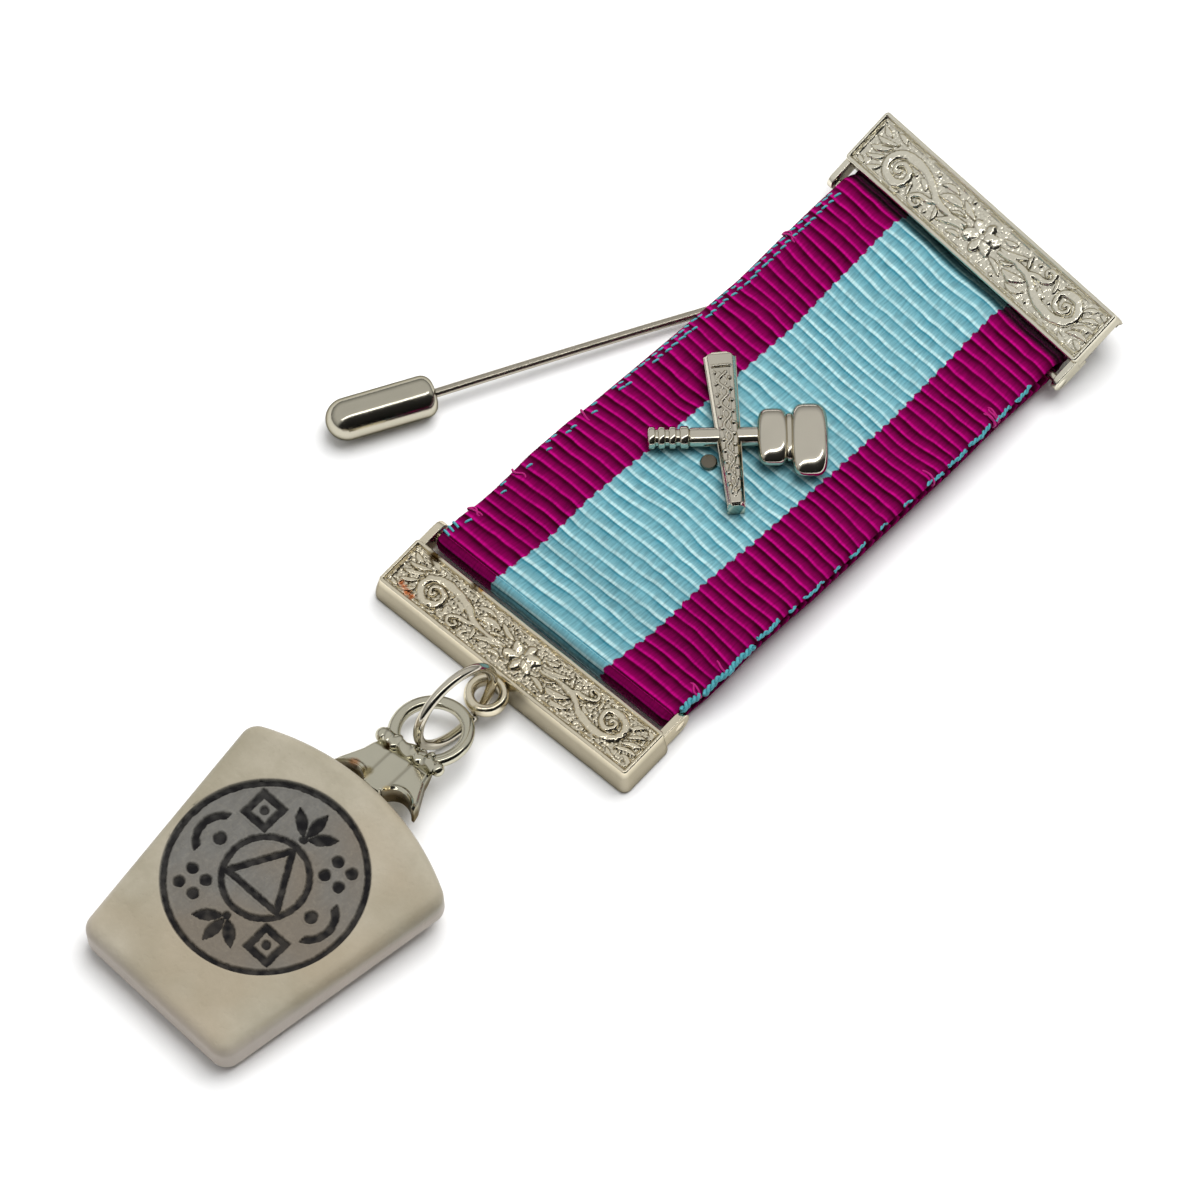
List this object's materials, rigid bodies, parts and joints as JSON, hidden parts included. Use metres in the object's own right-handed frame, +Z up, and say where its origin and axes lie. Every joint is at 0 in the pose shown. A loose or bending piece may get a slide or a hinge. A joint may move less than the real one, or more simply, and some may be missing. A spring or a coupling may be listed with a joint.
{
  "type": "masonic jewel",
  "caption": "Breast jewel lying on a table: striped ribbon between two ornamented bars, crossed tools on it, stick pin with cap, ring and engraved keystone pendant.",
  "frame": {"origin": "middle of the foot of the bottom bar's outer long wall, on the table", "axes": "+Y along the ribbon from the bottom bar to the top bar, +X across it to its right-hand edge, +Z up from the table"},
  "size_m": [0.0532, 0.1275, 0.0114],
  "materials": {
    "bar_metal": "cast and silvered, slightly tarnished in the hollows",
    "polished_metal": "polished silvered metal",
    "ribbon_cloth": "ribbed silk ribbon, magenta with a broad pale blue stripe in the middle",
    "stone": "worked stone, smooth and slightly waxy, dark engraved lines"
  },
  "bodies": {
    "jewel": {"bottom_bar": "bar_metal", "top_bar": "bar_metal", "ribbon": "ribbon_cloth", "emblem": "polished_metal", "stick_pin": "polished_metal", "jump_ring": "polished_metal", "keystone_cap": "polished_metal", "keystone": "stone"},
    "cap": {"pin_cap": "polished_metal"}
  },
  "joints": [
    {"name": "pin_cap_slide", "type": "slide", "parent": "jewel", "child": "cap", "axis": [-0.4382, -0.8984, 0.0283], "range_m": [0, 0.01]}
  ]
}
